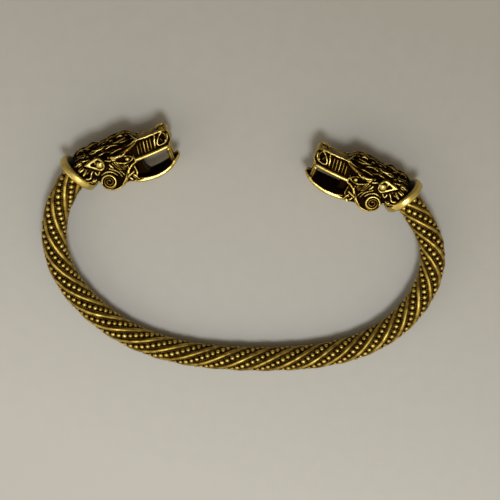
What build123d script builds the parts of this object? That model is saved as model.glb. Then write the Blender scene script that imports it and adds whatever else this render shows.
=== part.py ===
from build123d import *
from math import ceil, cos, pi, radians, sin, tan
import os

# Open cuff of twisted wires with a cast dragon head on each end.
# Millimetres. +X runs along the cuff's width, +Y towards the heads, +Z up.
# The cuff lies on a table, z = 0, and the origin is the middle of its footprint.

# Driving dimensions
band_diameter = 5.0
wires_of_each_kind = 5
smooth_wire_diameter = 0.9
beaded_wire_diameter = 0.84
core_diameter = 3.0
seat_depth = 0.35
collar_diameter = 8.5
collar_width = 1.6
collar_rounding = 0.5
collar_forward = 0.9
socket_clearance = 0.2
neck_bend = 27.0
head_roll = 5.0

# Where the band starts, in the cuff's own plane, and its direction there
band_start_x = -33.8
band_start_y = 15.2
band_start_heading = -133.0
wire_start_phase = -42.0

# Band, from the left collar round to the right one.
# Each row is one arc: radius, turn in degrees, twist of the wires in degrees
band_arcs = (
    (18.5, 74.9, 314),
    (30.0, 14.4, 99),
    (33.2, 26.2, 211),
    (51.6, 12.2, 146),
    (106.6, 9.4, 233),
    (46.3, 12.0, 136),
    (26.9, 18.9, 130),
    (22.0, 36.6, 214),
    (13.7, 47.5, 185),
    (39.6, 10.7, 116),
)

# How the cuff lies: its plane leans a little, because the heads are thicker than the band
rest_tilt = 2.97
rest_lean = -0.25
rest_height = 3.719
shift_x = 1.197
shift_y = -0.028
rest = Plane(Location((shift_x, shift_y, rest_height), (rest_tilt, rest_lean, 0)))

wire_ring_radius = band_diameter / 2 - smooth_wire_diameter / 2
band_length = sum(radius * radians(turn) for radius, turn, twist in band_arcs)


def band_station(distance):
    """Centre, heading and wire phase at a distance along the band, in the cuff's plane."""
    x, y, heading, phase = band_start_x, band_start_y, band_start_heading, wire_start_phase
    left = distance
    for number, (radius, turn, twist) in enumerate(band_arcs):
        length = radius * radians(turn)
        last = number == len(band_arcs) - 1
        part = min(max(left, 0.0), length) / length
        angle = radians(heading)
        swing = radians(turn * part)
        x += radius * (sin(angle + swing) - sin(angle))
        y -= radius * (cos(angle + swing) - cos(angle))
        heading += turn * part
        phase += twist * part
        if left < length and not last:
            break
        left -= length
    beyond = min(distance, 0.0) + max(distance - band_length, 0.0)
    x += beyond * cos(radians(heading))
    y += beyond * sin(radians(heading))
    return x, y, heading, phase


def wire_point(distance, offset, ring):
    """A point of one twisted wire, by its angle round the band and its distance from the middle."""
    x, y, heading, phase = band_station(distance)
    around = radians(phase - offset)
    inward = ring * sin(around)
    return (
        x - inward * sin(radians(heading)),
        y + inward * cos(radians(heading)),
        ring * cos(around),
    )


# Stations of the wires' corners, ten to a turn of the twist
total_twist = sum(twist for radius, turn, twist in band_arcs)
corner_twist = 36.0
corner_count = ceil(total_twist / corner_twist)
corner_ring = wire_ring_radius / cos(radians(corner_twist / 2))


def distance_at_twist(wanted):
    """The distance along the band at which the wires have turned this far."""
    done = 0.0
    distance = 0.0
    for radius, turn, twist in band_arcs:
        length = radius * radians(turn)
        if wanted <= done + twist:
            return distance + length * (wanted - done) / twist
        done += twist
        distance += length
    return distance


def wire_route(offset):
    """Corners of one wire, and the largest tangent radius at each of them."""
    stations = [-seat_depth]
    stations += [distance_at_twist(total_twist * k / corner_count) for k in range(1, corner_count)]
    stations.append(band_length + seat_depth)
    places = [wire_point(station, offset, corner_ring) for station in stations]
    places[0] = wire_point(stations[0], offset, wire_ring_radius)
    places[-1] = wire_point(stations[-1], offset, wire_ring_radius)
    points = [Vector(*place) for place in places]
    radii = []
    for before, here, after in zip(points, points[1:], points[2:]):
        turn = (here - before).get_angle(after - here)
        shorter = min((here - before).length, (after - here).length)
        radii.append(0.45 * shorter / tan(radians(turn / 2)))
    return places, radii


# Core rod: the plain round rod inside, which shows dark between the wires
with BuildPart() as core_rod:
    with BuildLine(rest) as core_path:
        travelled = 0.0
        Line(band_station(-seat_depth)[:2], band_station(0)[:2])
        for radius, turn, twist in band_arcs:
            length = radius * radians(turn)
            stops = [band_station(travelled + length * part)[:2] for part in (0, 0.5, 1)]
            ThreePointArc(*stops)
            travelled += length
        Line(stops[2], band_station(band_length + seat_depth)[:2])
    with BuildSketch(Plane(origin=core_path.line @ 0, z_dir=core_path.line % 0)):
        Circle(core_diameter / 2)
    sweep(path=core_path.line)
core_rod.part.label = "core_rod"


def twisted_wire(offset, diameter):
    """One round wire twisted round the core, as straight runs joined by tangent arcs."""
    places, radii = wire_route(offset)
    with BuildPart() as wire:
        with BuildLine(rest) as path:
            FilletPolyline(*places, radius=radii)
        with BuildSketch(Plane(origin=path.line @ 0, z_dir=path.line % 0)):
            Circle(diameter / 2)
        sweep(path=path.line)
    expected = pi * diameter**2 / 4 * sum(edge.length for edge in path.edges())
    print(f"wire {offset:5.0f}: radii {min(radii):.1f} to {max(radii):.1f},",
          f"volume {wire.part.volume:.2f} of {expected:.2f}")
    return wire.part


# Wires: smooth and beaded ones take turns round the core
wire_parts = {}
between = 360 / wires_of_each_kind
for number in range(wires_of_each_kind):
    wire_parts[f"smooth_wire_{number + 1}"] = twisted_wire(number * between, smooth_wire_diameter)
    wire_parts[f"beaded_wire_{number + 1}"] = twisted_wire((number + 0.5) * between,
                                                           beaded_wire_diameter)


# Head: one solid casting, the same at both ends of the band but for the lower jaw.
# Its own frame: x forward along the snout, y up to the crest, z out of one cheek,
# with the middle of the collar at the origin.

# Skull: place along the head, height of the middle, half height, half width, lean
skull_sections = (
    (0.6, 0.3, 3.5, 3.5, 27),
    (3.4, 0.6, 3.3, 3.35, 16),
    (6.4, 0.2, 3.9, 3.5, 6),
    (9.4, 0.5, 3.8, 3.2, 0),
    (12.6, 1.4, 2.8, 2.5, -4),
)

# Snout: place along the head, underside, top of the side wall, ridge, half width
snout_sections = (
    (10.8, -0.75, 2.9, 4.3, 2.5),
    (13.8, -0.7, 2.95, 3.5, 2.35),
    (17.4, -0.65, 2.95, 3.45, 2.2),
    (19.2, -0.35, 3.0, 3.8, 2.0),
    (20.2, 0.7, 2.8, 3.5, 1.6),
)

# Upturned tip of the nose: place along the head, height, radius
nose_tip_sections = ((18.2, 3.1, 0.75), (19.6, 4.0, 0.3))
nose_tip_lean = 20

# Lower jaws: place along the head, bottom, rim, tongue, half width
left_jaw = (
    (10.6, -4.5, -2.8, -2.5, 2.5),
    (11.3, -4.9, -3.5, -3.0, 2.5),
    (12.2, -5.2, -4.15, -3.4, 2.5),
    (13.6, -5.4, -4.5, -3.5, 2.45),
    (15.2, -5.45, -4.6, -3.4, 2.4),
    (16.8, -5.2, -4.4, -3.2, 2.3),
    (18.2, -4.7, -3.9, -2.9, 2.1),
    (19.4, -4.0, -3.2, -2.4, 1.7),
    (20.5, -3.1, -2.4, -2.0, 0.9),
)
right_jaw = (
    (10.6, -4.2, -2.6, -1.8, 2.5),
    (11.3, -4.5, -3.1, -1.85, 2.5),
    (12.2, -4.7, -3.6, -1.9, 2.5),
    (13.6, -4.85, -3.95, -1.85, 2.45),
    (15.2, -4.85, -4.0, -1.8, 2.4),
    (16.8, -4.6, -3.8, -1.75, 2.3),
    (18.2, -4.2, -3.45, -1.7, 2.1),
    (19.4, -3.6, -2.9, -1.75, 1.7),
    (20.4, -2.9, -2.3, -2.0, 0.9),
)
jaw_rim = 0.45
jaw_edge = 0.3
tongue_half_width = 0.5

# Jowl that joins the jaw to the skull: its underside, and the rest of its outline
jowl_under = ((4.6, -3.3), (6.8, -4.7), (8.6, -4.2))
jowl_outline = ((9.6, -4.0), (11.0, -4.5), (12.1, -2.9), (11.9, -0.6), (9.0, 0.4), (4.6, -1.0))
jowl_half_width = 2.7

# Web that closes the back of the mouth: its hollow front edge, and its back
web_front = ((14.0, -0.4), (13.4, -1.9), (14.3, -3.7))
web_back = ((11.0, -3.9), (11.0, -0.4))
web_half_width = 1.2

# Fangs that close the mouth in front
fang_top = (19.0, -0.2)
fang_out = 1.3
fang_radius = 0.45
left_fang_length = 3.5
right_fang_length = 2.9

# Locks of the mane and scales of the neck on one side:
# start and end (along, height, out), thickness
locks = (
    # along the crest
    ((0.6, 3.5, 0.5), (4.2, 4.1, 0.8), 1.3),
    ((3.0, 3.7, 0.6), (6.8, 4.5, 0.9), 1.3),
    ((5.4, 3.7, 0.5), (8.8, 4.2, 1.0), 1.2),
    ((7.2, 3.9, 0.6), (11.0, 4.6, 0.9), 1.3),
    ((9.4, 4.1, 0.6), (13.4, 4.5, 0.7), 1.4),
    # beside the crest
    ((0.8, 2.7, 2.0), (4.6, 3.4, 2.1), 1.0),
    ((3.4, 3.0, 2.2), (7.4, 3.5, 2.1), 1.0),
    ((6.2, 3.1, 2.2), (10.0, 3.6, 1.9), 1.0),
    ((9.0, 3.2, 2.0), (13.0, 3.5, 1.5), 1.1),
    # down the neck, behind the ear
    ((0.7, 2.1, 2.8), (3.4, 2.7, 2.8), 0.9),
    ((0.8, 1.2, 3.2), (3.2, 1.5, 3.3), 0.9),
    ((1.2, 0.3, 3.3), (3.4, 0.6, 3.4), 0.9),
    ((1.5, -0.6, 3.2), (3.8, -0.4, 3.4), 0.9),
    ((1.9, -1.5, 2.5), (4.2, -1.5, 2.8), 0.9),
    ((2.2, -1.9, 1.5), (4.6, -2.2, 2.1), 0.9),
)
# Half outline of a lock: part of its length, part of its thickness
lock_profile = ((0.2, 0.36), (0.5, 0.5), (0.8, 0.36))

# Raised lines on one side: start, middle and end (along, height, out), thickness
raised_lines = (
    # cheek band, from the corner of the mouth round under the spiral
    ((12.3, -0.8, 2.45), (11.3, -1.2, 2.75), (10.5, -1.9, 2.85), 0.5),
    ((10.5, -1.9, 2.85), (9.6, -3.3, 2.8), (8.1, -4.3, 2.65), 0.56),
    ((8.1, -4.3, 2.65), (6.7, -4.5, 2.6), (5.0, -3.6, 2.5), 0.5),
    # eyelids and brow
    ((8.5, 1.2, 3.4), (10.9, -0.2, 3.0), (12.4, 0.1, 2.6), 0.35),
    ((8.5, 1.2, 3.4), (10.7, 1.2, 3.1), (12.4, 0.1, 2.6), 0.4),
    ((8.0, 1.8, 3.1), (11.2, 1.9, 2.9), (14.0, 3.0, 2.3), 0.8),
    # upper lip, and upper edge of the snout
    ((12.6, -0.45, 2.45), (15.8, -0.4, 2.35), (19.0, -0.2, 2.0), 0.75),
    ((13.6, 2.95, 2.35), (16.4, 2.9, 2.25), (19.0, 3.05, 2.0), 0.5),
    # curl round the nostril
    ((19.0, 2.8, 2.05), (18.1, 2.1, 2.2), (17.4, 1.1, 2.25), 0.36),
    ((17.4, 1.1, 2.25), (17.9, 0.65, 2.2), (19.2, 1.1, 2.0), 0.42),
)

eye_centre = (11.2, 0.4, 2.85)
eye_radius = 0.5

# Upright wrinkles on the side of the snout, the first one next to the eye
snout_rib_count = 7
snout_rib_pitch = 0.66
snout_rib_diameter = 0.3
snout_rib_foot = -0.2
snout_rib_length = 3.2
snout_rib_lean = 0.18
snout_rib_out = 2.38
snout_rib_taper = 0.03
first_rib_along = 13.4

nostril_centre = (18.9, 1.9)
nostril_half_width = 0.45
nostril_half_height = 0.7
nostril_floor = 1.2

spiral_centre = (6.35, -2.4)
spiral_disc_radius = 1.5
spiral_disc_face = 3.9
spiral_root = 1.75
spiral_wire_diameter = 0.34
# Half turns of the spiral, from the outside in
spiral_radii = (1.3, 1.08, 0.84, 0.6, 0.36)

ear_centre = (5.65, 1.45)
ear_radius = 1.35
ear_front_from = -80
ear_front_turn = 170
ear_tip = (3.2, 2.15)
ear_root = 2.1
ear_face = 4.15
ear_hollow = ((4.15, 1.9), (5.2, 2.25), (5.4, 0.95))
ear_hollow_depth = 0.6
ear_boss_centre = (6.1, 1.4, 3.9)
ear_boss_radius = 0.75


def across(along, height, lean):
    """A plane across the head: its x runs sideways and its y towards the crest."""
    return Plane(
        origin=(along, height, 0),
        x_dir=(0, 0, -1),
        z_dir=(cos(radians(lean)), sin(radians(lean)), 0),
    )


def raised_line(start, middle, end, thickness):
    """A raised round line through three points, with round ends."""
    with BuildPart() as line:
        with BuildLine() as path:
            ThreePointArc(start, middle, end)
        with BuildSketch(Plane(origin=path.line @ 0, z_dir=path.line % 0)):
            Circle(thickness / 2)
        sweep(path=path.line)
        with Locations(path.line @ 0, path.line @ 1):
            Sphere(thickness / 2)
    return line.part


def lock(start, end, thickness):
    """A lock of mane: thickest in the middle and pointed at both ends."""
    run = Vector(*end) - Vector(*start)
    half_outline = [(run.length * along, thickness * out) for along, out in lock_profile]
    with BuildPart() as body:
        with BuildSketch(Plane(origin=start, x_dir=run, z_dir=run.cross(Vector(0.1, 0.2, 1)))):
            with BuildLine():
                Polyline((0, 0), *half_outline, (run.length, 0), close=True)
            make_face()
        revolve(axis=Axis(start, run))
    return body.part


def snout_rib(number):
    """One upright wrinkle on the side of the snout, counted from the eye."""
    along = first_rib_along + snout_rib_pitch * number
    out = snout_rib_out - snout_rib_taper * number
    with BuildPart() as rib:
        with BuildSketch(Plane(origin=(along, snout_rib_foot, out), z_dir=(snout_rib_lean, 1, 0))):
            Circle(snout_rib_diameter / 2)
        extrude(amount=snout_rib_length)
    return rib.part


# Collar: the plain rounded band at the neck, with the socket that takes the wires
collar_plane = across(0, 0, neck_bend)
collar_back = collar_forward - collar_width / 2
with BuildPart() as collar:
    with BuildSketch(collar_plane.offset(collar_back)):
        Circle(collar_diameter / 2)
    extrude(amount=collar_width)
    fillet(collar.edges(), collar_rounding)

# Spiral boss at the hinge of the jaw
with BuildPart() as spiral_boss:
    with BuildSketch(Plane.XY.offset(spiral_root)):
        with Locations(spiral_centre):
            Circle(spiral_disc_radius)
    extrude(amount=spiral_disc_face - spiral_root)
    with BuildLine(Plane.XY.offset(spiral_disc_face)) as coil:
        middle = spiral_centre[0]
        for number, radius in enumerate(spiral_radii):
            CenterArc((middle, spiral_centre[1]), radius, 180 * (number + 1), -180)
            if number + 1 < len(spiral_radii):
                step = radius - spiral_radii[number + 1]
                middle += step if number % 2 == 0 else -step
    with BuildSketch(Plane(origin=coil.line @ 0, z_dir=coil.line % 0)):
        Circle(spiral_wire_diameter / 2)
    sweep(path=coil.line)

# Ear: a pointed leaf laid back along the neck, hollow behind a round boss
with BuildPart() as ear:
    with BuildSketch(Plane.XY.offset(ear_root)):
        with BuildLine():
            front = CenterArc(ear_centre, ear_radius, ear_front_from, ear_front_turn)
            Polyline(front @ 1, ear_tip, front @ 0)
        make_face()
    extrude(amount=ear_face - ear_root)
    with BuildSketch(Plane.XY.offset(ear_face)):
        with BuildLine():
            Polyline(*ear_hollow, close=True)
        make_face()
    extrude(amount=-ear_hollow_depth, mode=Mode.SUBTRACT)
    with Locations(ear_boss_centre):
        Sphere(ear_boss_radius)

with BuildPart() as eyeball:
    with Locations(eye_centre):
        Sphere(eye_radius)

# All that stands raised on one side of the head
relief = [raised_line(*row) for row in raised_lines]
relief += [lock(*row) for row in locks]
relief += [snout_rib(number) for number in range(snout_rib_count)]
relief += [eyeball.part, spiral_boss.part, ear.part]


def dragon_head(jaw_sections, fang_length):
    """One whole head with its own lower jaw."""
    with BuildPart() as head:
        # skull
        for along, middle, half_height, half_width, lean in skull_sections:
            with BuildSketch(across(along, middle, lean)):
                Ellipse(half_width, half_height)
        loft()
        # snout with a ridged back
        for along, underside, side_top, ridge, half_width in snout_sections:
            with BuildSketch(across(along, 0, 0)):
                with BuildLine():
                    Polyline(
                        (-half_width, underside), (half_width, underside), (half_width, side_top),
                        (0, ridge), (-half_width, side_top), close=True,
                    )
                make_face()
        loft(ruled=True)
        for along, height, radius in nose_tip_sections:
            with BuildSketch(across(along, height, nose_tip_lean)):
                Circle(radius)
        loft()
        # lower jaw, hollowed on both sides of the tongue
        for along, bottom, rim, tongue, half_width in jaw_sections:
            lip = half_width - jaw_rim
            with BuildSketch(across(along, 0, 0)):
                with BuildLine():
                    Polyline(
                        (-lip, bottom), (lip, bottom), (half_width, bottom + jaw_edge),
                        (half_width, rim), (lip, rim), (tongue_half_width, tongue),
                        (-tongue_half_width, tongue), (-lip, rim), (-half_width, rim),
                        (-half_width, bottom + jaw_edge), close=True,
                    )
                make_face()
        loft(ruled=True)
        with BuildSketch():
            with BuildLine():
                ThreePointArc(*jowl_under)
                Polyline(jowl_under[-1], *jowl_outline, jowl_under[0])
            make_face()
        extrude(amount=jowl_half_width, both=True)
        with BuildSketch():
            with BuildLine():
                ThreePointArc(*web_front)
                Polyline(web_front[-1], *web_back, web_front[0])
            make_face()
        extrude(amount=web_half_width, both=True)
        for side in (1, -1):
            with BuildSketch(Plane(origin=(*fang_top, side * fang_out), z_dir=(0, -1, 0))):
                Circle(fang_radius)
            extrude(amount=fang_length)
        for side in (1, -1):
            with BuildSketch(Plane.XY.offset(side * nostril_floor)):
                with Locations(nostril_centre):
                    Ellipse(nostril_half_width, nostril_half_height)
            extrude(amount=side * nostril_floor, mode=Mode.SUBTRACT)
        for piece in relief:
            add(piece)
            mirror(piece, about=Plane.XY)
        add(collar.part)
        with BuildSketch(collar_plane.offset(collar_back)):
            Circle(band_diameter / 2 + socket_clearance)
        extrude(amount=seat_depth + socket_clearance - collar_back, mode=Mode.SUBTRACT)
    return head.part


def head_seat(distance, side):
    """Where a head sits: its collar square on the band's end, its crest outwards."""
    x, y, heading, _ = band_station(distance)
    outward = radians(heading + 180 if side > 0 else heading)
    forward = outward - side * radians(neck_bend)
    flat = Plane(origin=(x, y, 0), x_dir=(cos(forward), sin(forward), 0), z_dir=(0, 0, side))
    return rest.location * flat.location * Location((0, 0, 0), (side * head_roll, 0, 0))


with BuildPart() as left_head:
    with Locations(head_seat(0, 1)):
        add(dragon_head(left_jaw, left_fang_length))
left_head.part.label = "left_head"

with BuildPart() as right_head:
    with Locations(head_seat(band_length, -1)):
        add(dragon_head(right_jaw, right_fang_length))
right_head.part.label = "right_head"

os.makedirs("parts", exist_ok=True)
export_step(core_rod.part, "parts/core_rod.step")
for name, piece in wire_parts.items():
    piece.label = name
    export_step(piece, f"parts/{name}.step")
export_step(left_head.part, "parts/left_head.step")
export_step(right_head.part, "parts/right_head.step")
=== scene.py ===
from math import cos, inf, pi, radians, sin

import bmesh
import bpy
import numpy as np
from mathutils import Matrix, Vector
from mathutils.bvhtree import BVHTree
from mathutils.kdtree import KDTree


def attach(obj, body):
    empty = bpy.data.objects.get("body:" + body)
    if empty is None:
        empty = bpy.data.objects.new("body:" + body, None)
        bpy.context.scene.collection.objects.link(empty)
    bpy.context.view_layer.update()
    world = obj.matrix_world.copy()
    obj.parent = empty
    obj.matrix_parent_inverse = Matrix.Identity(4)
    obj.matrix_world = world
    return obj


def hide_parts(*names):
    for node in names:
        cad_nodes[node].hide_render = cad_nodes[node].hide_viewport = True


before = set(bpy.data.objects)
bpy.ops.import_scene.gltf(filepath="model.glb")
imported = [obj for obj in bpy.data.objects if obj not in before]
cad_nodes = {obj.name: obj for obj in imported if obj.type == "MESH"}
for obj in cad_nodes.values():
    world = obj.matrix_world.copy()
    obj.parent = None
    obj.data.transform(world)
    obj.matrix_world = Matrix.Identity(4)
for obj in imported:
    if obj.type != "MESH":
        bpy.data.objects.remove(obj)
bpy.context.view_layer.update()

collection = bpy.context.scene.collection

# Line of the band: the cuff's middle line, bent as a row of arcs from the left collar to the right
# one. The heads are thicker than the band, so the cuff lies on the floor a little tilted.
mm = 0.001
band_start = (-33.8, 15.2)
band_start_heading = -133.0
wire_start_phase = -42.0
# Each row is one arc: radius in mm, turn in degrees, twist of the wires in degrees
band_arcs = (
    (18.5, 74.9, 314),
    (30.0, 14.4, 99),
    (33.2, 26.2, 211),
    (51.6, 12.2, 146),
    (106.6, 9.4, 233),
    (46.3, 12.0, 136),
    (26.9, 18.9, 130),
    (22.0, 36.6, 214),
    (13.7, 47.5, 185),
    (39.6, 10.7, 116),
)
band_length = sum(radius * radians(turn) for radius, turn, twist in band_arcs)
rest = (
    Matrix.Translation(Vector((1.197, -0.028, 3.719)) * mm)
    @ Matrix.Rotation(radians(2.97), 4, "X")
    @ Matrix.Rotation(radians(-0.25), 4, "Y")
)


def band_station(distance):
    """Middle, heading and phase of the wires at a distance along the band, in mm and degrees."""
    x, y = band_start
    heading, phase = band_start_heading, wire_start_phase
    left = distance
    for number, (radius, turn, twist) in enumerate(band_arcs):
        length = radius * radians(turn)
        part = min(max(left, 0.0), length) / length
        angle = radians(heading)
        swing = radians(turn * part)
        x += radius * (sin(angle + swing) - sin(angle))
        y -= radius * (cos(angle + swing) - cos(angle))
        heading += turn * part
        phase += twist * part
        if left < length:
            break
        left -= length
    beyond = min(distance, 0.0) + max(distance - band_length, 0.0)
    x += beyond * cos(radians(heading))
    y += beyond * sin(radians(heading))
    return x, y, heading, phase


def wire_frame(distance, offset, ring):
    """Where a twisted wire is: x along the band, z straight out from its middle, in metres."""
    x, y, heading, phase = band_station(distance)
    along = Matrix.Translation((x, y, 0)) @ Matrix.Rotation(radians(heading), 4, "Z")
    around = Matrix.Rotation(radians(offset - phase), 4, "X") @ Matrix.Translation((0, 0, ring))
    return rest @ Matrix.Scale(mm, 4) @ along @ around


# Brass: the whole cuff is cast or drawn brass, blackened all over and then polished, so the metal
# shines on the high places and stays dark in the hollows. Each piece holds its height as "rise".
patina_black = (0.006, 0.0025, 0.0005, 1)
patina_brown = (0.032, 0.014, 0.002, 1)
brass_dull = (0.18, 0.11, 0.02, 1)
brass_gold = (0.44, 0.32, 0.065, 1)
brass_pale = (0.72, 0.58, 0.21, 1)


def antique_brass(name, low, high, rough, stains):
    """Brass that goes from black below the height low to polished above the height high."""
    material = bpy.data.materials.new(name)
    material.use_nodes = True
    nodes, links = material.node_tree.nodes, material.node_tree.links
    shader = nodes["Principled BSDF"]
    place = nodes.new("ShaderNodeTexCoord").outputs["Object"]

    def noise(scale, detail):
        node = nodes.new("ShaderNodeTexNoise")
        node.inputs["Scale"].default_value = scale
        node.inputs["Detail"].default_value = detail
        links.new(place, node.inputs["Vector"])
        return node.outputs["Fac"]

    def math(kind, first, second, third=None):
        node = nodes.new("ShaderNodeMath")
        node.operation = kind
        for socket, value in zip(node.inputs, (first, second, third)):
            if isinstance(value, bpy.types.NodeSocket):
                links.new(value, socket)
            elif value is not None:
                socket.default_value = value
        return node.outputs["Value"]

    height = nodes.new("ShaderNodeAttribute")
    height.attribute_name = "rise"
    stain = math("MULTIPLY_ADD", noise(900, 3), stains * (high - low), -0.5 * stains * (high - low))
    worn = nodes.new("ShaderNodeMapRange")
    worn.inputs["From Min"].default_value = low
    worn.inputs["From Max"].default_value = high
    links.new(math("ADD", height.outputs["Fac"], stain), worn.inputs["Value"])

    colour = nodes.new("ShaderNodeValToRGB")
    ramp = colour.color_ramp.elements
    ramp[0].color = patina_black
    ramp[1].color = brass_pale
    for position, tint in ((0.25, patina_brown), (0.5, brass_dull), (0.75, brass_gold)):
        ramp.new(position).color = tint
    links.new(worn.outputs["Result"], colour.inputs["Fac"])
    links.new(colour.outputs["Color"], shader.inputs["Base Color"])

    shader.inputs["Metallic"].default_value = 1.0
    matt = math("MULTIPLY_ADD", worn.outputs["Result"], rough - 0.5, 0.5)
    links.new(math("MULTIPLY_ADD", noise(2600, 2), 0.12, matt), shader.inputs["Roughness"])

    bump = nodes.new("ShaderNodeBump")
    bump.inputs["Strength"].default_value = 0.5
    bump.inputs["Distance"].default_value = 0.00001
    links.new(noise(5200, 4), bump.inputs["Height"])
    links.new(bump.outputs["Normal"], shader.inputs["Normal"])
    return material


# Core rod: the plain round brass rod down the middle of the band, black with patina where it shows
# between the wires. It is soldered into the collars at both ends.
core = cad_nodes["core_rod"]
core_black = bpy.data.materials.new("core_patina")
core_black.use_nodes = True
core_shader = core_black.node_tree.nodes["Principled BSDF"]
core_shader.inputs["Metallic"].default_value = 0.6
core_shader.inputs["Roughness"].default_value = 0.55
core_noise = core_black.node_tree.nodes.new("ShaderNodeTexNoise")
core_noise.inputs["Scale"].default_value = 1500
core_place = core_black.node_tree.nodes.new("ShaderNodeTexCoord")
core_tint = core_black.node_tree.nodes.new("ShaderNodeValToRGB")
core_tint.color_ramp.elements[0].color = patina_black
core_tint.color_ramp.elements[1].color = patina_brown
core_black.node_tree.links.new(core_place.outputs["Object"], core_noise.inputs["Vector"])
core_black.node_tree.links.new(core_noise.outputs["Fac"], core_tint.inputs["Fac"])
core_black.node_tree.links.new(core_tint.outputs["Color"], core_shader.inputs["Base Color"])
core.data.materials.clear()
core.data.materials.append(core_black)


# Smooth wires: five plain drawn wires twisted round the core, soldered into the collars at both
# ends. Each is one round wire, polished along its outer side.
wires_of_each_kind = 5
between_wires = 360 / wires_of_each_kind
band_radius = 2.5
smooth_wire_radius = 0.43
seat_depth = 0.35
wire_step = 0.25
wire_sides = 12
wire_brass = antique_brass("wire_brass", 0.74, 1.13, 0.32, 0.8)


def even_steps(spacing):
    """Distances along the band, from one end of the wires to the other."""
    length = band_length + 2 * seat_depth
    return np.linspace(-seat_depth, band_length + seat_depth, round(length / spacing))


def swept_wire(name, offset, ring, radius):
    """A round wire swept along the twist at a distance from the band's middle, as a closed mesh."""
    curve = bpy.data.curves.new(name, "CURVE")
    curve.dimensions = "3D"
    curve.bevel_depth = radius * mm
    curve.bevel_resolution = (wire_sides - 4) // 2
    curve.use_fill_caps = True
    line = curve.splines.new("POLY")
    places = [wire_frame(at, offset, ring).translation for at in even_steps(wire_step)]
    line.points.add(len(places) - 1)
    for point, place in zip(line.points, places):
        point.co = (*place, 1)
    holder = bpy.data.objects.new(name, curve)
    mesh = bpy.data.meshes.new_from_object(holder)
    bpy.data.objects.remove(holder)
    return mesh


middle_line = KDTree(len(even_steps(wire_step)))
for number, at in enumerate(even_steps(wire_step)):
    middle_line.insert(wire_frame(at, 0, 0).translation, number)
middle_line.balance()


def finished(name, mesh, material, node):
    """Adds a piece of the object that stands for one node of the part."""
    mesh.materials.clear()
    mesh.materials.append(material)
    mesh.shade_smooth()
    piece = bpy.data.objects.new(name, mesh)
    collection.objects.link(piece)
    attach(piece, "root")
    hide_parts(node)
    return piece


for number in range(wires_of_each_kind):
    node = f"smooth_wire_{number + 1}"
    ring = band_radius - smooth_wire_radius
    wire = swept_wire(node, number * between_wires, ring, smooth_wire_radius)
    heights = [middle_line.find(v.co)[2] / (band_radius * mm) for v in wire.vertices]
    wire.attributes.new("rise", "FLOAT", "POINT").data.foreach_set("value", heights)
    finished(f"polished_wire_{number + 1}", wire, wire_brass, node)


# Beaded wires: five wires rolled into rows of beads, one between each two smooth wires, and along both
# sides of each a row of fine grains that fills the groove. They are soldered in with the smooth wires.
bead_radius = 0.47
bead_ring = 2.04
bead_pitch = 1.03
bead_stretch = 1.1
bead_segments, bead_rings = 12, 7
bead_polish = 1.0
bead_neck_radius = 0.28
bead_neck_polish = 0.25
grain_radius = 0.19
grain_pitch = 0.4
grain_ring = 2.03
grain_turn = 18.0
grain_stretch = 1.0
grain_segments, grain_rings = 8, 4
grain_polish = 0.62
ball_foot = 0.6
ball_unevenness = 0.09
chance = np.random.default_rng(7)
bead_brass = antique_brass("bead_brass", 0.10, 1.12, 0.32, 0.7)


def ball_row(radius, segments, rings, stretch, places, polish):
    """Balls of a slightly uneven size at many places: points, faces, and the height on each ball."""
    ball = bmesh.new()
    bmesh.ops.create_uvsphere(ball, u_segments=segments, v_segments=rings, radius=radius)
    bmesh.ops.scale(ball, verts=ball.verts, vec=(stretch, 1, 1))
    # A ball's corners and faces come in another order each run, so they are put in a fixed one
    corners = sorted(ball.verts, key=lambda v: v.co.to_tuple(6))
    number_of = {v: number for number, v in enumerate(corners)}
    panels = sorted([number_of[v] for v in face.verts] for face in ball.faces)
    points = np.array([(*v.co, 1.0) for v in corners])
    sizes = chance.uniform(1 - ball_unevenness, 1 + ball_unevenness, len(places))
    moved = np.concatenate([
        (points @ np.array(place @ Matrix.Scale(size, 4)).T)[:, :3]
        for place, size in zip(places, sizes)
    ])
    faces = [
        [corner + number * len(points) for corner in panel]
        for number in range(len(places)) for panel in panels
    ]
    height = polish * (points[:, 2] / radius + ball_foot) / (1 + ball_foot)
    return moved, faces, np.tile(height, len(places))


for number in range(wires_of_each_kind):
    node = f"beaded_wire_{number + 1}"
    offset = (number + 0.5) * between_wires
    bead_places = [wire_frame(at, offset, bead_ring) for at in even_steps(bead_pitch)]
    grain_places = [
        wire_frame(at, offset + side * grain_turn, grain_ring)
        for side in (-1, 1)
        for at in even_steps(grain_pitch)
    ]
    neck = swept_wire(node, offset, bead_ring, bead_neck_radius)
    points = [tuple(v.co) for v in neck.vertices]
    faces = [list(face.vertices) for face in neck.polygons]
    heights = [bead_neck_polish] * len(points)
    for row in (
        ball_row(bead_radius, bead_segments, bead_rings, bead_stretch, bead_places, bead_polish),
        ball_row(grain_radius, grain_segments, grain_rings, grain_stretch, grain_places, grain_polish),
    ):
        faces += [[index + len(points) for index in face] for face in row[1]]
        points += row[0].tolist()
        heights += row[2].tolist()
    beads = bpy.data.meshes.new(node)
    beads.from_pydata(points, [], faces)
    beads.attributes.new("rise", "FLOAT", "POINT").data.foreach_set("value", heights)
    finished(f"bead_row_{number + 1}", beads, bead_brass, node)


# Heads: both ends carry a dragon head cast in brass, alike but for the lower jaw and the fangs. Each is
# one casting, cleaned up and polished by hand on a wheel, so its lines shine and its hollows are black.
# It is modelled in its own frame, in mm: x along the snout, y up to the crest, z out of one cheek.
neck_bend = 27.0
head_roll = 5.0
collar_front = 1.7
# Size of the mesh that fuses the lines to the casting, and the gap that is welded before it
head_voxel = 0.108
weld_gap = 0.0005
cast_brass = antique_brass("cast_brass", 0.30, 1.10, 0.28, 0.5)


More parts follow.
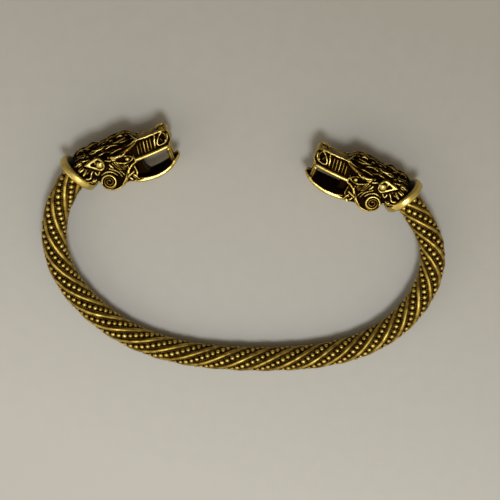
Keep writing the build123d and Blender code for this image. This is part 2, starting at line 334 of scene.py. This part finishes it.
def head_place(distance, side):
    """Where a head sits on the band's end, from its own mm to the model's metres."""
    x, y, heading, _ = band_station(distance)
    outward = heading + 180 if side > 0 else heading
    turned = Matrix.Rotation(radians(outward - side * neck_bend), 4, "Z")
    if side < 0:
        turned = turned @ Matrix.Rotation(pi, 4, "X")
    flat = Matrix.Translation((x, y, 0)) @ turned
    return rest @ Matrix.Scale(mm, 4) @ flat @ Matrix.Rotation(radians(side * head_roll), 4, "X")


def relaxed(values, edges, rounds, share):
    """Values of each point drawn towards the mean of its neighbours."""
    first, second = edges[:, 0], edges[:, 1]
    count = np.bincount(edges.ravel(), minlength=len(values))
    for _ in range(rounds):
        mean = np.empty_like(values)
        for axis in range(values.shape[1]):
            total = np.bincount(first, values[second, axis], len(values))
            total += np.bincount(second, values[first, axis], len(values))
            mean[:, axis] = total / count
        values = values + share * (mean - values)
    return values


def tube_mesh(points, widths, closed=False):
    """A round line through points, with a width at each of them."""
    curve = bpy.data.curves.new("line", "CURVE")
    curve.dimensions = "3D"
    curve.bevel_depth = 0.5
    curve.bevel_resolution = 2
    curve.use_fill_caps = not closed
    line = curve.splines.new("NURBS")
    line.points.add(len(points) - 1)
    for point, place, width in zip(line.points, points, widths):
        point.co = (*place, 1)
        point.radius = width
    line.order_u = 3
    line.resolution_u = 6
    line.use_endpoint_u = not closed
    line.use_cyclic_u = closed
    holder = bpy.data.objects.new("line", curve)
    mesh = bpy.data.meshes.new_from_object(holder)
    bpy.data.objects.remove(holder)
    return mesh


# Lines chased on the cheek, laid on the casting. Columns: polish, width, lift, places (along, height)
cheek_lines = (
    # scales of the neck
    (0.8, 0.28, 0.10, ((1.5, 2.75), (2.1, 3.05), (2.9, 3.0))),
    (0.7, 0.26, 0.10, ((1.5, 2.35), (2.0, 2.65), (2.7, 2.65))),
    (0.6, 0.24, 0.08, ((1.6, 1.95), (2.1, 2.25), (2.7, 2.3))),
    (0.8, 0.26, 0.08, ((1.7, 1.55), (2.2, 1.75), (2.8, 1.95))),
    (0.6, 0.24, 0.08, ((1.8, 1.15), (2.3, 1.35), (2.9, 1.6))),
    (0.5, 0.24, 0.08, ((1.9, 0.75), (2.2, 0.95), (2.6, 1.1))),
    (0.5, 0.24, 0.08, ((2.0, -0.1), (2.3, 0.1), (2.8, 0.1))),
    (0.5, 0.24, 0.08, ((2.2, -1.9), (2.8, -2.3), (3.4, -2.5))),
    (0.9, 0.55, 0.10, ((2.2, 0.35), (2.7, 0.65), (3.2, 1.25))),
    (0.9, 0.34, 0.10, ((4.1, 0.45), (3.7, 0.1), (3.45, -0.55), (2.9, -0.75), (2.4, -0.4))),
    (0.8, 0.28, 0.10, ((4.5, 0.05), (4.55, -0.5), (5.0, -0.55), (5.4, 0.0))),
    (0.7, 0.26, 0.08, ((3.3, -1.3), (3.7, -1.05), (4.2, -1.3), (3.8, -1.65), (3.3, -1.35))),
    (0.7, 0.28, 0.08, ((2.4, -1.15), (3.0, -1.45), (3.6, -2.1))),
    (0.6, 0.26, 0.08, ((3.9, -2.0), (4.3, -2.15), (4.6, -1.9))),
    # rim of the ear, the drop in it, and the bead that links it to the brow
    (1.0, 0.34, 0.10, ((3.3, 2.1), (4.1, 2.5), (5.3, 2.75), (6.4, 2.5), (6.9, 1.7), (6.8, 0.8))),
    (1.0, 0.34, 0.10, ((6.8, 0.8), (6.4, 0.3), (5.8, 0.15), (5.0, 0.65), (4.2, 1.3), (3.3, 2.0))),
    (1.0, 0.50, 0.05, ((5.7, 1.9), (6.4, 1.65), (6.9, 1.6))),
    (1.0, 0.30, 0.12, ((7.0, 1.65), (7.5, 1.5), (7.9, 1.2))),
    (0.8, 0.34, 0.12, ((7.9, 1.2), (8.1, 1.25), (8.3, 1.2))),
    # temple and the fan of ribs behind the mouth
    (1.0, 0.50, 0.14, ((7.65, 0.75), (7.8, 0.3), (8.15, -0.3))),
    (0.6, 0.22, 0.10, ((8.2, 0.75), (8.5, -0.1), (9.1, -1.2))),
    (0.7, 0.22, 0.10, ((8.65, 0.8), (8.9, 0.0), (9.35, -1.3))),
    (0.6, 0.22, 0.10, ((9.05, 0.7), (9.25, -0.1), (9.6, -1.4))),
    (0.7, 0.22, 0.10, ((9.45, 0.5), (9.6, -0.3), (9.85, -1.5))),
    (0.6, 0.22, 0.10, ((9.85, 0.25), (9.95, -0.5), (10.1, -1.5))),
    (0.7, 0.22, 0.10, ((10.25, 0.0), (10.3, -0.6), (10.35, -1.4))),
    (0.6, 0.20, 0.08, ((10.65, -0.25), (10.65, -0.8), (10.55, -1.4))),
    (0.5, 0.20, 0.08, ((11.0, -0.5), (10.9, -0.9), (10.7, -1.4))),
    # arcs round the spiral
    (0.9, 0.26, 0.12, ((5.4, -0.9), (6.2, -0.5), (7.2, -0.65), (7.9, -1.3), (8.2, -2.1))),
    (0.6, 0.24, 0.10, ((7.3, -0.1), (8.2, -0.75), (8.8, -1.7), (8.9, -2.6))),
    (0.5, 0.22, 0.08, ((8.9, -1.3), (9.4, -1.9), (9.5, -2.6))),
    # leaf over the eye, the fold above it and the edge of the lid
    (1.0, 0.50, 0.10, ((8.5, 1.85), (9.0, 1.55), (9.7, 1.5), (10.4, 1.55))),
    (0.9, 0.26, 0.10, ((8.4, 1.9), (8.45, 1.5), (8.7, 1.15), (9.6, 1.15), (10.3, 1.3), (11.3, 1.65))),
    (0.5, 0.30, 0.10, ((8.3, 2.3), (9.6, 2.65), (11.2, 2.55), (12.8, 2.75), (13.9, 3.3))),
    (0.7, 0.30, 0.12, ((11.9, 0.0), (12.3, 0.2), (12.5, 0.6))),
    # root of the jaw
    (1.0, 0.55, 0.10, ((10.0, -2.9), (10.7, -2.65), (11.5, -2.35))),
    (1.0, 0.50, 0.10, ((10.2, -3.2), (10.4, -3.5), (10.6, -3.9))),
    (0.7, 0.26, 0.10, ((11.1, -2.9), (11.5, -3.4), (11.8, -4.3))),
    (0.6, 0.22, 0.08, ((10.9, -3.1), (11.2, -3.6), (11.4, -4.3))),
    # second line of the cheek band, and the fold over the lip
    (0.8, 0.22, 0.08, ((8.4, -4.0), (9.3, -3.3), (10.0, -2.3), (10.4, -1.5), (11.2, -0.9), (12.2, -0.5))),
    (0.6, 0.20, 0.06, ((12.9, 0.15), (15.0, 0.2), (17.2, 0.35))),
    # edge of the roof, and lines of the nostril
    (0.8, 0.20, 0.06, ((13.9, 3.1), (15.5, 3.1), (17.2, 3.12), (18.6, 3.15))),
    (0.9, 0.30, 0.10, ((18.8, 3.5), (18.45, 2.4), (17.7, 1.5), (17.5, 0.75), (18.2, 0.55), (19.2, 0.75))),
    (0.9, 0.24, 0.10, ((19.2, 0.75), (19.75, 1.2), (19.85, 2.3), (19.6, 3.5))),
    (0.6, 0.20, 0.08, ((17.6, 3.0), (17.5, 2.3), (17.1, 1.5), (17.0, 0.7))),
    # front of the mane, dropping to the roof
    (0.9, 0.30, 0.12, ((13.0, 4.3), (13.6, 4.15), (14.0, 3.7), (14.2, 3.3))),
    (0.6, 0.26, 0.10, ((13.3, 3.7), (13.7, 3.4), (13.9, 3.0))),
)

# Hair of the mane. Each field is a row of strands side by side, from the crest down to the cheek.
# Columns: strands, front and back end of the top strand (along, degrees from the crest), the same of
# the lowest strand, width, bow in degrees
hair_fields = (
    (9, (13.9, 4), (7.6, 8), (12.6, 58), (8.3, 50), 0.25, 5),
    (9, (9.4, 5), (3.6, 7), (8.4, 52), (4.2, 42), 0.25, -5),
    (9, (5.4, 4), (1.8, 6), (4.2, 46), (1.8, 58), 0.25, 4),
)
hair_steps = 8
hair_lift = 0.12
hair_raggedness = 0.5
hair_polish = 0.2
hair_unevenness = 0.35

# Loops of hair that lie over the mane: middle along, degrees from the crest, half length, half width
hair_loops = ((10.8, 27, 1.3, 8), (10.8, 27, 0.8, 3), (6.6, 30, 1.2, 6), (2.9, 27, 0.8, 5))
loop_points = 12
loop_width = 0.26
loop_lift = 0.25
loop_polish = 0.65

# Axis of the skull, which the hair is laid round: along, height
skull_axis = ((0.6, 0.3), (3.4, 0.6), (6.4, 0.2), (9.4, 0.5), (12.6, 1.4), (14.0, 1.6))


def lock_widths(count, width):
    """Widths of a line that is full in the middle and fine at its ends."""
    return [width * (0.4 + 0.6 * sin(pi * (0.1 + 0.8 * k / (count - 1)))) for k in range(count)]


def head_relief(casting):
    """All the lines on one cheek as (mesh, polish) pairs, laid on the surface of the casting."""
    surface = BVHTree.FromBMesh(casting)
    far = 12.0
    half_cheek = 2.0

    def on_cheek(x, y, lift):
        found = surface.ray_cast(Vector((x, y, far)), Vector((0, 0, -1)))[0]
        return (found or surface.find_nearest((x, y, half_cheek))[0]) + Vector((0, 0, lift))

    def on_mane(x, degrees, lift):
        height = np.interp(x, [row[0] for row in skull_axis], [row[1] for row in skull_axis])
        out = Vector((0, cos(radians(degrees)), sin(radians(degrees))))
        found = surface.ray_cast(Vector((x, height, 0)) + out * far, -out)[0]
        return found + out * lift

    lines = []
    for polish, width, lift, places in cheek_lines:
        spots = [on_cheek(x, y, lift) for x, y in places]
        lines.append((tube_mesh(spots, lock_widths(len(spots), width)), polish))
    for count, top_front, top_back, low_front, low_back, width, bow in hair_fields:
        for number in range(count):
            share = number / (count - 1)
            front = Vector(top_front).lerp(Vector(low_front), share)
            back = Vector(top_back).lerp(Vector(low_back), share)
            front.x += hair_raggedness * sin(5.0 * number)
            back.x += hair_raggedness * sin(3.0 * number + 1.0)
            spots = []
            for step in range(hair_steps):
                at = front.lerp(back, step / (hair_steps - 1))
                turn = at.y + bow * sin(2 * pi * step / (hair_steps - 1))
                spots.append(on_mane(at.x, turn, hair_lift))
            shine = hair_polish + hair_unevenness * sin(2.3 * number + front.x)
            lines.append((tube_mesh(spots, lock_widths(hair_steps, width)), shine))
    for middle, degrees, half_length, half_width in hair_loops:
        spots = [
            on_mane(middle + half_length * cos(turn), degrees + half_width * sin(turn), loop_lift)
            for turn in np.linspace(0, 2 * pi, loop_points, endpoint=False)
        ]
        lines.append((tube_mesh(spots, [loop_width] * len(spots), closed=True), loop_polish))
    return lines


# Top of the polished edge of each lower jaw: along, height
left_jaw_edge = (
    (10.8, -4.2), (12.2, -4.5), (15.2, -4.7), (16.8, -4.45), (18.2, -3.95), (19.4, -3.2), (20.5, -2.3),
)
right_jaw_edge = (
    (10.8, -3.9), (12.2, -4.05), (15.2, -4.15), (16.8, -3.9), (18.2, -3.5), (19.4, -2.9), (20.4, -2.3),
)
collar_polish = 1.25
collar_margin = 0.05
jaw_edge_polish = 1.4
jaw_root = 10.8
# Inside of the mouth, where the black stays: along, its top, half its thickness, patina
mouth_span = (10.9, 18.3)
mouth_top = -0.75
mouth_half_thickness = 2.1
mouth_patina = 0.7
# Flat front of the nose and flat underside of the throat: where, how squarely they face, polish
nose_from = 18.9
nose_facing = 0.7
nose_polish = 1.2
throat_top = -1.0
throat_half_thickness = 3.4
throat_facing = 0.6
throat_polish = 1.0
# Other places that the wheel sweeps or leaves black, first that fits: along, height, polish, patina
polish_zones = (
    # lip, roof of the snout, ear and mane
    ((12.3, inf), (-0.95, 0.05), 1.2, 0.0),
    ((13.8, inf), (2.95, inf), 0.9, 0.0),
    ((3.0, 7.1), (0.0, 2.9), 0.7, 0.0),
    ((-inf, 13.5), (1.9, inf), 0.0, 0.22),
)
cheek_patina = 0.1


def hand_polish(x, y, z, facing, jaw_edge):
    """Polish of a place that the wheel reaches, and patina of one that it doesn't reach."""
    along_neck = x * cos(radians(neck_bend)) + y * sin(radians(neck_bend))
    if along_neck < collar_front + collar_margin:
        return collar_polish, 0.0
    rim = np.interp(x, [row[0] for row in jaw_edge], [row[1] for row in jaw_edge])
    if x > jaw_root and y < rim:
        return jaw_edge_polish, 0.0
    if mouth_span[0] < x < mouth_span[1] and rim < y < mouth_top and abs(z) < mouth_half_thickness:
        return 0.0, mouth_patina
    if x > nose_from and facing.x > nose_facing:
        return nose_polish, 0.0
    if x < jaw_root and y < throat_top and facing.y < -throat_facing and abs(z) < throat_half_thickness:
        return throat_polish, 0.0
    for (back, front), (low, high), polish, patina in polish_zones:
        if back < x < front and low < y < high:
            return polish, patina
    return 0.0, cheek_patina


# How the height of each point becomes its rise: a ground, the share that polish adds, and the fine
# and the broad relief, each as rounds of smoothing and the height that counts as one
ground_rise = 0.2
polish_rise = 0.55
fine_rounds, fine_height = 8, 0.06
broad_rounds, broad_height = 60, 0.5


def dragon_head(node, distance, side, jaw_edge):
    """One finished head: the casting and its lines fused, then each point's height noted."""
    place = head_place(distance, side)
    casting = bmesh.new()
    casting.from_mesh(cad_nodes[node].data)
    bmesh.ops.transform(casting, matrix=place.inverted(), verts=casting.verts)
    bmesh.ops.remove_doubles(casting, verts=casting.verts, dist=weld_gap)
    polish_of = [0.0] * len(casting.faces)
    whole = casting.copy()
    for mesh, polish in head_relief(casting):
        for cheek in (1, -1):
            copy = mesh.copy()
            copy.transform(Matrix.Diagonal((1, 1, cheek, 1)))
            if cheek < 0:
                copy.flip_normals()
            whole.from_mesh(copy)
            polish_of += [polish] * len(copy.polygons)
            bpy.data.meshes.remove(copy)
    cast = bpy.data.meshes.new(node)
    whole.to_mesh(cast)
    holder = bpy.data.objects.new(node, cast)
    collection.objects.link(holder)
    fuse = holder.modifiers.new("fuse", "REMESH")
    fuse.mode = "VOXEL"
    fuse.voxel_size = head_voxel
    solved = holder.evaluated_get(bpy.context.evaluated_depsgraph_get())
    fused = bpy.data.meshes.new_from_object(solved)
    bpy.data.objects.remove(holder)

    points = np.empty(len(fused.vertices) * 3)
    fused.vertices.foreach_get("co", points)
    points = points.reshape(-1, 3)
    edges = np.empty(len(fused.edges) * 2, dtype=np.int32)
    fused.edges.foreach_get("vertices", edges)
    edges = edges.reshape(-1, 2)
    source = BVHTree.FromBMesh(whole)
    polish = np.zeros((len(points), 2))
    for number, (x, y, z) in enumerate(points):
        wheel, patina = hand_polish(x, y, z, fused.vertices[number].normal, jaw_edge)
        polish[number] = max(wheel, polish_of[source.find_nearest((x, y, z))[2]]), patina
    points = relaxed(points, edges, rounds=2, share=0.5)
    fused.vertices.foreach_set("co", points.ravel())
    fused.update()
    normals = np.empty(len(points) * 3)
    fused.vertices.foreach_get("normal", normals)
    normals = normals.reshape(-1, 3)
    fine = ((points - relaxed(points, edges, fine_rounds, share=0.6)) * normals).sum(axis=1)
    broad = ((points - relaxed(points, edges, broad_rounds, share=0.6)) * normals).sum(axis=1)
    polish, patina = relaxed(polish, edges, rounds=2, share=0.5).T
    relief = fine / fine_height + broad / broad_height
    rise = np.clip(ground_rise + polish_rise * polish - patina + relief, 0, 1)

    fused.transform(place)
    fused.attributes.new("rise", "FLOAT", "POINT").data.foreach_set("value", rise)
    finished(f"dragon_{node}", fused, cast_brass, node)


dragon_head("left_head", 0, 1, left_jaw_edge)
dragon_head("right_head", band_length, -1, right_jaw_edge)


# Floor: a plain pale matt sheet under the cuff. Its colour carries painted shade: it is painted darker
# towards the heads and the right and lighter towards the lamp, as in the photo, a painted falloff of the
# lamp's light. It is also faintly uneven.
floor_size = 3.0
# Painted light: the pale tone is painted lamp light at the foot of the floor, the grey tone is painted
# shade towards the heads.
floor_painted_lit = (0.464, 0.452, 0.44, 1)
floor_painted_shade = (0.318, 0.309, 0.283, 1)
floor_shape = bmesh.new()
bmesh.ops.create_grid(floor_shape, x_segments=1, y_segments=1, size=floor_size / 2)
floor_mesh = bpy.data.meshes.new("floor")
floor_shape.to_mesh(floor_mesh)
floor = bpy.data.objects.new("floor", floor_mesh)
collection.objects.link(floor)
floor_paint = bpy.data.materials.new("floor_paint")
floor_paint.use_nodes = True
floor_nodes, floor_links = floor_paint.node_tree.nodes, floor_paint.node_tree.links
floor_place = floor_nodes.new("ShaderNodeTexCoord")
floor_axes = floor_nodes.new("ShaderNodeSeparateXYZ")
# Painted shade by place: the floor's colour runs from the painted lit tone to the painted shade tone
# along y, and a little along x.
floor_painted_falloff = floor_nodes.new("ShaderNodeMapRange")
floor_painted_falloff.inputs["From Min"].default_value = -0.045
floor_painted_falloff.inputs["From Max"].default_value = 0.065
floor_light_ramp = floor_nodes.new("ShaderNodeValToRGB")
floor_light_ramp.color_ramp.elements[0].color = floor_painted_lit
floor_light_ramp.color_ramp.elements[1].color = floor_painted_shade
floor_shade_slant = floor_nodes.new("ShaderNodeMath")
floor_shade_slant.operation = "MULTIPLY_ADD"
floor_shade_slant.inputs[1].default_value = 0.35
floor_links.new(floor_place.outputs["Object"], floor_axes.inputs["Vector"])
floor_links.new(floor_axes.outputs["X"], floor_shade_slant.inputs[0])
floor_links.new(floor_axes.outputs["Y"], floor_shade_slant.inputs[2])
floor_noise = floor_nodes.new("ShaderNodeTexNoise")
floor_noise.inputs["Scale"].default_value = 350
floor_noise.inputs["Detail"].default_value = 4
floor_uneven = floor_nodes.new("ShaderNodeMath")
floor_uneven.operation = "MULTIPLY_ADD"
floor_uneven.inputs[1].default_value = 0.02
floor_links.new(floor_place.outputs["Object"], floor_noise.inputs["Vector"])
floor_links.new(floor_noise.outputs["Fac"], floor_uneven.inputs[0])
floor_links.new(floor_shade_slant.outputs["Value"], floor_uneven.inputs[2])
floor_links.new(floor_uneven.outputs["Value"], floor_painted_falloff.inputs["Value"])
floor_links.new(floor_painted_falloff.outputs["Result"], floor_light_ramp.inputs["Fac"])
floor_links.new(floor_light_ramp.outputs["Color"], floor_nodes["Principled BSDF"].inputs["Base Color"])
floor_nodes["Principled BSDF"].inputs["Roughness"].default_value = 0.8
floor_mesh.materials.append(floor_paint)

# Light: a soft lamp overhead, towards the foot of the picture, a faint one low on the left, and a
# pale room that is bright at the foot of the picture and dim beyond the heads.
room_dim = (0.18, 0.14, 0.09, 1)
room_bright = (0.90, 0.80, 0.60, 1)
room_strength = 1.06
bpy.context.scene.view_settings.view_transform = "Standard"
world = bpy.data.worlds.new("room")
bpy.context.scene.world = world
world.use_nodes = True
sky_nodes, sky_links = world.node_tree.nodes, world.node_tree.links
sky_place = sky_nodes.new("ShaderNodeTexCoord")
sky_axes = sky_nodes.new("ShaderNodeSeparateXYZ")
sky_side = sky_nodes.new("ShaderNodeMapRange")
sky_side.inputs["From Min"].default_value = 0.6
sky_side.inputs["From Max"].default_value = -0.8
sky_tint = sky_nodes.new("ShaderNodeValToRGB")
sky_tint.color_ramp.elements[0].color = room_dim
sky_tint.color_ramp.elements[1].color = room_bright
sky_links.new(sky_place.outputs["Generated"], sky_axes.inputs["Vector"])
sky_links.new(sky_axes.outputs["Y"], sky_side.inputs["Value"])
sky_links.new(sky_side.outputs["Result"], sky_tint.inputs["Fac"])
sky_links.new(sky_tint.outputs["Color"], sky_nodes["Background"].inputs["Color"])
sky_nodes["Background"].inputs["Strength"].default_value = room_strength

lamp_white = (0.94, 0.98, 1.0)
# Lamps: name, place, size, power
lamps = (
    ("overhead", (0.04, -0.11, 0.40), 0.11, 0.98),
    ("left_panel", (-0.40, -0.15, 0.25), 0.25, 0.3),
)
for name, place, size, power in lamps:
    lamp = bpy.data.lights.new(name, "AREA")
    lamp.size = size
    lamp.energy = power
    lamp.color = lamp_white
    lamp_object = bpy.data.objects.new(name, lamp)
    lamp_object.location = place
    lamp_object.rotation_mode = "QUATERNION"
    lamp_object.rotation_quaternion = (-Vector(place)).to_track_quat("-Z", "Y")
    collection.objects.link(lamp_object)

# Camera: looks down on the lying cuff, from a little beyond the heads.
camera_tilt = radians(14.0)
camera_distance = 0.190
camera_lens = 68.8
camera_target = Vector((1.189, 0.127, 3.764)) * mm
camera_data = bpy.data.cameras.new("camera")
camera_data.sensor_width = 36.0
camera_data.lens = camera_lens
camera_data.clip_start = 0.01
camera = bpy.data.objects.new("camera", camera_data)
camera.location = camera_target + camera_distance * Vector((0, sin(camera_tilt), cos(camera_tilt)))
camera.rotation_euler = (-camera_tilt, 0, 0)
collection.objects.link(camera)
bpy.context.scene.camera = camera
